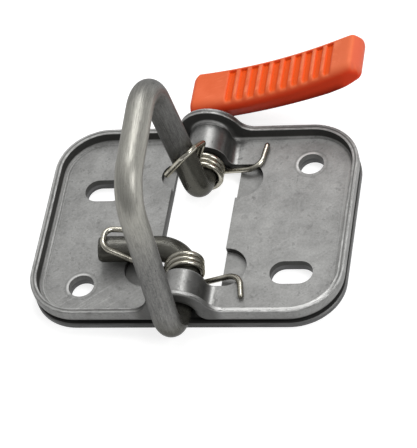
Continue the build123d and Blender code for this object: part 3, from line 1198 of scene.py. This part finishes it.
        # Raise the share over the tip, so that the finish paints less shade there
        share += (1 - share) * self.tip_shade_cut * soft_step(x, *self.tip_shade_span)[:, None]
        before = sum(side.shape[1] for side in sides[:3])
        sunk, ribbed = np.zeros_like(share), np.zeros_like(share)
        sunk[:, before:before + crown.shape[1]] = depth
        near = np.abs(x - (self.groove_first + self.stations[0] + self.groove_count * self.groove_pitch / 2))
        ribbed[:, before:before + self.top_points] = soft_step(near, *self.rub_fade)[:, None]
        along = np.broadcast_to(x[:, None, None], (*loop.shape[:2], 1))
        points = np.concatenate([along, loop + [self.middle_y, 0.0]], -1)
        return points, Where.RIBS, np.stack([sunk, share, ribbed * (1 - sunk)], -1)

    def build(self) -> bpy.types.Object:
        """Make the grip and let it ride with the bar.

        Returns:
            The grip.
        """
        grip = dress(new_piece("ribbed_grip", *self.rings()), MouldedGrip().make())
        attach(grip, Body.BAIL.value)
        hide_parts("grip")
        return grip


@dataclass
class Bail:
    """Bent bar with its handle arm, bail and stop arm, and the radii of its bends in that order."""

    pivot: Pivot = Pivot()
    stock: RoundStock = RoundStock(9.0, 0.6, 40)
    step: float = 1.0
    bend_step: float = 0.45
    lean: float = 92.0
    back_reach: float = 69.8
    front_reach: float = 66.1
    back_in: float = 7.6
    front_in: float = 9.9
    back_elbow: float = 12.0
    front_elbow: float = -51.2
    stop_elbow: float = -12.6
    stop_reach: float = 31.3
    stop_drift: float = 2.9
    stop_rise: float = 7.489
    handle: float = 53.3
    handle_reach: float = 33.0
    handle_rise: float = 19.5
    radii: Tuple[float, ...] = (11.0, 9.0, 14.0, 14.0, 10.5, 10.0)

    def line(self) -> np.ndarray:
        """Centre line of the bar, from the handle end to the stop end.

        Returns:
            Points in order.
        """
        around = self.pivot.around
        points = np.array([
            around(self.handle_reach, self.handle_rise, self.handle),
            around(0, 0, self.handle),
            around(0, 0, self.back_elbow),
            around(self.back_reach, self.lean, self.back_elbow - self.back_in),
            around(self.front_reach, self.lean, self.front_elbow + self.front_in),
            around(0, 0, self.front_elbow),
            around(0, 0, self.stop_elbow),
            around(self.stop_reach, 180 - self.stop_rise, self.stop_elbow - self.stop_drift),
        ])
        return BentLine(points, self.radii, self.step, self.bend_step).line()

    def build(self) -> bpy.types.Object:
        """Make the bar and let it ride on its body.

        Returns:
            The bar.
        """
        bar = dress(self.stock.mesh("bent_bar", self.line()), DrawnBar().make())
        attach(bar, Body.BAIL.value)
        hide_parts("bail_bar")
        return bar


@dataclass
class CoilSpring:
    """Torsion spring: a leg on the tray's floor, a coil on the bar and a hook on an arm."""

    name: str
    node: str
    inward: int
    saddle_gap: float
    tilt: float
    coil_end: float
    leg: Pairs
    hook: Tuple[Colour, ...]
    arm_angle: float
    arm_start: float
    arm_slope: float
    slant: float
    blend: Pair
    pivot: Pivot = Pivot()
    stock: RoundStock = RoundStock(2.0, 0.25, 24)
    step: float = 0.6
    bend_step: float = 0.3
    window: Pair = (23.6, 53.4)
    floor: float = 4.6
    bar: float = 9.0
    coil_gap: float = 0.45
    coil_pitch: float = 2.05
    coil_turns: int = 3
    leg_run: float = 4.0
    leg_bend: float = 5.0
    leg_clear: float = 0.3
    leg_slope: float = 18.0
    hook_gap: float = 0.6
    hook_bend: float = 3.4
    samples_per_turn: int = 72

    def coil(self) -> np.ndarray:
        """Points of the coil, from the floor leg's end to the hook's end.

        A point lies at radius r and angle s - t and moves along the axis with t. The coil
        is then turned about the vertical through its first turn.

        Returns:
            Points in order.
        """
        start = self.leg_slope - 90
        turns = self.coil_turns + ((start - self.coil_end) % 360) / 360
        turn = np.linspace(0, turns, int(turns * self.samples_per_turn))
        angle = np.radians(start) - 2 * np.pi * turn
        radius = self.bar / 2 + self.coil_gap + self.stock.diameter / 2
        first = -self.inward * (self.window[1] / 2 - self.saddle_gap - self.stock.diameter / 2)
        x = radius * np.cos(angle)
        along = self.inward * self.coil_pitch * turn
        tilt = np.radians(self.tilt)
        return np.stack([
            x * np.cos(tilt) - along * np.sin(tilt),
            first + x * np.sin(tilt) + along * np.cos(tilt),
            self.pivot.height + radius * np.sin(angle),
        ], -1)

    def floor_leg(self) -> np.ndarray:
        """Corners of the leg on the floor, out from the window's side and beyond its end.

        Returns:
            The corners in order.
        """
        height = self.floor + self.stock.diameter / 2 + self.leg_clear
        half_width, half_length = self.window[0] / 2, self.window[1] / 2
        return np.array([
            [half_width + out, -self.inward * (half_length + beyond), height] for out, beyond in self.leg
        ])

    def hook_corners(self) -> np.ndarray:
        """Corners of the hook beside its arm of the bar.

        Returns:
            The corners in order.
        """
        off = self.bar / 2 + self.stock.diameter / 2 + self.hook_gap
        turn = np.radians(self.arm_angle - 90)
        return np.array([
            self.pivot.around(along, self.arm_angle, self.arm_start + self.arm_slope * along)
            + off * np.array([aside * np.cos(turn), over, aside * np.sin(turn)])
            for along, aside, over in self.hook
        ])

    def leg_line(self, end: np.ndarray, before: np.ndarray, corners: np.ndarray, radius: float) -> np.ndarray:
        """Wire that leaves the coil's end straight on and then follows its corners."""
        points = np.vstack([end, end + unit(end - before) * self.leg_run, corners])
        return BentLine(points, [radius] * (len(points) - 2), self.step, self.bend_step).line()

    def line(self) -> np.ndarray:
        """Centre line of the wire, from the end on the floor to the end of the hook.

        Returns:
            Points in order.
        """
        coil = self.coil()
        fixed = self.leg_line(coil[0], coil[1], self.floor_leg(), self.leg_bend)
        moving = self.leg_line(coil[-1], coil[-2], self.hook_corners(), self.hook_bend)
        return np.vstack([fixed[::-1], coil[1:-1], moving])

    def build(self, material: bpy.types.Material) -> bpy.types.Object:
        """Make the spring and hide its part in the frame.

        Args:
            material: Finish of the wire.

        Returns:
            The spring.
        """
        spring = dress(self.stock.mesh(self.name, self.line()), material)
        turn = np.radians(self.slant)
        way = np.array([-np.sin(turn), np.cos(turn) * self.inward, 0.0])
        lift = np.array([0.0, 0.0, self.pivot.height])
        start, end = ((way * place + lift) * MM for place in self.blend)
        tuple(start)
        tuple(end)
        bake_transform(spring)
        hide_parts(self.node)
        return spring


def springs(bail: Bail) -> List[CoilSpring]:
    """The two springs, hooked on two arms of the bar.

    Args:
        bail: The bar that they are hooked on.

    Returns:
        The back spring and the front one.
    """
    back = CoilSpring(
        name="back_coil",
        node="back_spring",
        inward=-1,
        saddle_gap=0.3,
        tilt=0.0,
        coil_end=135.0,
        leg=((7.6, -3.2), (9.0, 8.1)),
        hook=((22.6, 1.0, 1.0), (34.0, 1.0, -1.0), (20.0, -1.0, -1.0)),
        arm_angle=bail.lean,
        arm_start=bail.back_elbow,
        arm_slope=-bail.back_in / bail.back_reach,
        slant=0.0,
        blend=(-23.3, -18.9),
    )
    front = CoilSpring(
        name="front_coil",
        node="front_spring",
        inward=1,
        saddle_gap=1.2,
        tilt=11.0,
        coil_end=-119.0,
        leg=((6.8, -4.0), (8.6, 5.9)),
        hook=((18.0, 0.2, -1.0), (29.2, 1.0, -0.62), (29.2, 1.0, 0.66), (15.0, 0.5, 0.92)),
        arm_angle=180 - bail.stop_rise,
        arm_start=bail.stop_elbow,
        arm_slope=-bail.stop_drift / bail.stop_reach,
        slant=30.0,
        blend=(-21.9, -14.6),
    )
    return [back, front]


@dataclass
class Plates:
    """Pressed tray and the flat plate under it."""

    def build(self) -> None:
        """Dress both plates."""
        dress(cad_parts["tray"], PressedSteel().make())
        dress(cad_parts["base_plate"], PlateSteel().make())
        log.info("dressed tray and base_plate")


# Stage


@dataclass(frozen=True)
class Lamp:
    """Square soft light: its place and size in metres and its power in watts."""

    name: str
    place: Colour
    size: float
    power: float

    def build(self, target: Vector) -> None:
        """Hang the lamp, facing the target.

        Args:
            target: Place that the lamp faces.
        """
        data = bpy.data.lights.new(self.name, "AREA")
        data.size = self.size
        data.energy = self.power
        lamp = put(data)
        lamp.location = self.place
        lamp.rotation_euler = (Vector(self.place) - target).to_track_quat("Z", "Y").to_euler()


@dataclass
class Studio:
    """White floor, soft sky and lamps."""

    floor_size: float = 6.0
    sky: Pairs = ((0.0, 0.28), (0.45, 0.34), (0.70, 0.5), (0.92, 1.0))
    sky_axis: Colour = (-0.25, 0.60, 0.76)
    sky_strength: float = 0.75
    lamps: Tuple[Lamp, ...] = (
        Lamp("key", (0.15, 0.60, 1.15), 0.7, 7.0),
        Lamp("fill", (1.00, -0.30, 0.85), 0.6, 7.4),
    )

    def floor(self) -> None:
        """Lay a flat floor that keeps the object's shadow."""
        half = self.floor_size / 2
        corners = [(-half, -half, 0.0), (half, -half, 0.0), (half, half, 0.0), (-half, half, 0.0)]
        mesh = bpy.data.meshes.new("floor")
        mesh.from_pydata(corners, [], [(0, 1, 2, 3)])
        floor = dress(put(mesh), FloorWhite().make())

    def world(self) -> None:
        """Set a sky that is bright above and behind the latch, and dim in front of it."""
        world = bpy.data.worlds.new("studio")
        bpy.context.scene.world = world
        world.use_nodes = True
        shader = Shader(world.node_tree)
        way = shader.node("ShaderNodeTexCoord", output="Generated")
        near = sum(part * share for part, share in zip(way.parts(), self.sky_axis))
        level = shader.node("ShaderNodeValToRGB", {"stops": self.sky}, {"Fac": near * 0.5 + 0.5})
        back = shader.node("ShaderNodeBackground", None, {"Color": level, "Strength": self.sky_strength})
        shader.node("ShaderNodeOutputWorld", None, {"Surface": back})

    def build(self) -> None:
        """Lay the floor, set the sky and hang the lamps."""
        self.floor()
        self.world()
        middle = Vector((CAD_BOX[0] + CAD_BOX[1]) / 2)
        for lamp in self.lamps:
            lamp.build(middle)


@dataclass(frozen=True)
class Viewpoint:
    """Camera at the photograph's place: angles in degrees, lengths in millimetres."""

    azimuth: float = 22.65
    elevation: float = 49.24
    roll: float = -18.37
    distance: float = 797.1
    aside: Pair = (4.0, -0.1)
    target: Colour = (0.0, 0.0, 5.0)
    focal_pixels: float = 2299.6
    long_side: float = 448.0
    sensor: float = 36.0
    clip_start: float = 10.0
    clip_end: float = 100000.0

    def build(self) -> None:
        """Make the camera and use it.

        Its right, up and back are the world's X, Y and Z after a turn about Z, a tilt and a
        roll. The eye lies aside from the target and back from it along them.
        """
        data = bpy.data.cameras.new("camera")
        data.sensor_width = self.sensor
        data.lens = self.focal_pixels * self.sensor / self.long_side
        data.clip_start = self.clip_start * MM
        data.clip_end = self.clip_end * MM
        angles = ((self.azimuth, "Z"), (90 - self.elevation, "X"), (self.roll, "Z"))
        turn, tilt, roll = (Matrix.Rotation(np.radians(angle), 4, axis) for angle, axis in angles)
        places = (self.target, (*self.aside, self.distance))
        target, eye = (Matrix.Translation(Vector(place) * MM) for place in places)
        camera = put(data)
        camera.matrix_world = target @ turn @ tilt @ roll @ eye
        bpy.context.scene.camera = camera


def main() -> None:
    """Build the latch's looks, the stage and the camera, and report each piece."""
    logging.basicConfig(level=logging.INFO)
    Plates().build()
    bail = Bail()
    for piece in (bail, Grip()):
        log.info("built %s", piece.build().name)
    wire = SpringWire().make()
    for spring in springs(bail):
        log.info("built %s", spring.build(wire).name)
    Studio().build()
    Viewpoint().build()
    bpy.context.scene.view_settings.view_transform = "Standard"


if __name__ == "__main__":
    main()
